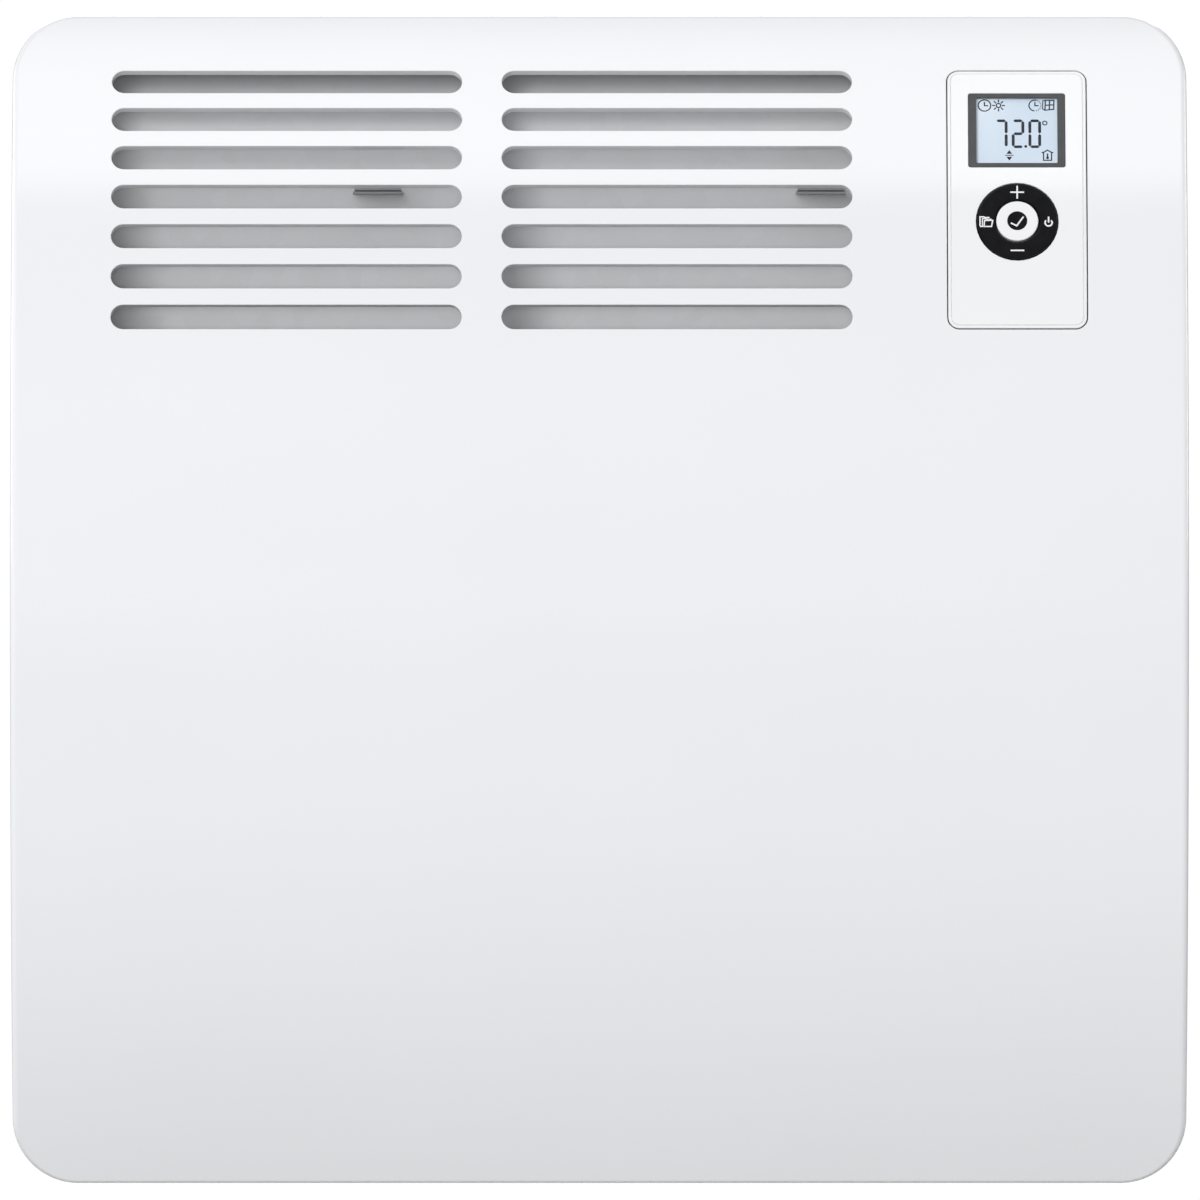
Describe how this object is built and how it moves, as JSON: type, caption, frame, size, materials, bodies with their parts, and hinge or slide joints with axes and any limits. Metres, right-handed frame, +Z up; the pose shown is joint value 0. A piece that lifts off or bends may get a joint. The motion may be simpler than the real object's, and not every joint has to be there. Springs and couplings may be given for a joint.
{
  "type": "panel convector heater",
  "caption": "Wall-hung electric panel convector: bowed white front with rows of air slots, a small display and key ring at the upper right, and a wall bracket with lift latches.",
  "frame": {"origin": "middle of the wall bracket's screw holes, on the plane of the wall", "axes": "+Y into the wall, +Z up, +X to the right as seen by someone who faces the heater"},
  "size_m": [0.47, 0.13, 0.468],
  "materials": {
    "panel_white": "glossy white powder coat",
    "casing_white": "satin white powder coat",
    "galvanised": "smooth zinc-coated sheet",
    "zinc_bracket": "zinc plated",
    "zinc_latch": "zinc plated, worn bright at the edges",
    "hook_steel": "dark burnished",
    "steel_screw": "bright zinc",
    "element_steel": "heat-tinted stainless steel",
    "fin_aluminium": "rolled",
    "ceramic": "unglazed",
    "terminal_brass": "tinned brass",
    "fascia_white": "smooth white moulding",
    "bezel_grey": "dark grey surround",
    "lens_clear": "clear window",
    "lcd_blue": "pale blue liquid crystal panel",
    "key_black": "glossy black",
    "key_white": "glossy white",
    "inner_black": "plain black moulding",
    "inner_white": "plain white moulding",
    "board_green": "solder mask",
    "capacitor_yellow": "moulded box",
    "lead_sleeve": "silicone sleeve",
    "cable_grey": "flat ribbon",
    "rubber": "soft black rubber"
  },
  "bodies": {
    "heater": {"front_panel": "panel_white", "rear_panel": "casing_white", "side_cheek_left": "casing_white", "side_cheek_right": "casing_white", "top_cover": "casing_white", "inlet_grille": "casing_white", "partition": "galvanised", "casing_rivets": "steel_screw", "casing_screws": "steel_screw", "air_guide": "galvanised", "heat_shield": "galvanised", "panel_hooks": "hook_steel", "element_tube": "element_steel", "element_fins": "fin_aluminium", "element_bracket_left": "galvanised", "element_bracket_right": "galvanised", "element_bushes": "ceramic", "element_terminals": "terminal_brass", "safety_limiter": "element_steel", "control_fascia": "fascia_white", "control_housing": "inner_white", "housing_nuts": "steel_screw", "display_bezel": "bezel_grey", "display_lens": "lens_clear", "lcd_panel": "lcd_blue", "key_carrier": "inner_black", "control_board": "board_green", "key_switches": "inner_black", "display_cable": "cable_grey", "power_board": "board_green", "board_standoffs": "terminal_brass", "board_screws": "steel_screw", "power_relay": "inner_black", "filter_capacitor": "capacitor_yellow", "board_connectors": "inner_white", "terminal_block": "inner_white", "terminal_screws": "steel_screw", "mains_leads": "lead_sleeve", "element_leads": "lead_sleeve", "sensor_lead": "lead_sleeve", "room_sensor": "steel_screw", "sensor_clip": "inner_white", "cable_grommet": "rubber", "earth_screw": "terminal_brass", "bracket_rail_left": "zinc_bracket", "bracket_rail_right": "zinc_bracket", "bracket_bar_upper": "zinc_bracket", "bracket_bar_lower": "zinc_bracket", "latch_pins": "zinc_latch", "wall_buffers": "rubber"},
    "nav_gimbal": {"nav_gimbal": "inner_black"},
    "nav_ring": {"nav_ring": "key_black"},
    "ok_key": {"ok_key": "key_white", "ok_inlay": "key_black"},
    "latch_left": {"latch_left": "zinc_latch"},
    "latch_right": {"latch_right": "zinc_latch"}
  },
  "joints": [
    {"name": "ring_rock_up_down", "type": "hinge", "parent": "heater", "child": "nav_gimbal", "pos_m": [0.1669, -0.09678, 0.14835], "axis": [1, 0, 0], "range_deg": [-1.8, 1.8], "stiffness_Nm_per_rad": 0.2},
    {"name": "ring_rock_sideways", "type": "hinge", "parent": "nav_gimbal", "child": "nav_ring", "pos_m": [0.1669, -0.09678, 0.14835], "axis": [0, 0.3353, 0.9421], "range_deg": [-1.8, 1.8], "stiffness_Nm_per_rad": 0.2},
    {"name": "ok_key_press", "type": "slide", "parent": "heater", "child": "ok_key", "axis": [0, 0.9421, -0.3353], "range_m": [0, 0.0008], "stiffness_N_per_m": 1000, "springref_m": -0.0004},
    {"name": "latch_left_lift", "type": "slide", "parent": "heater", "child": "latch_left", "axis": [0, 0, 1], "range_m": [0, 0.01]},
    {"name": "latch_right_lift", "type": "slide", "parent": "heater", "child": "latch_right", "axis": [0, 0, 1], "range_m": [0, 0.01]}
  ]
}
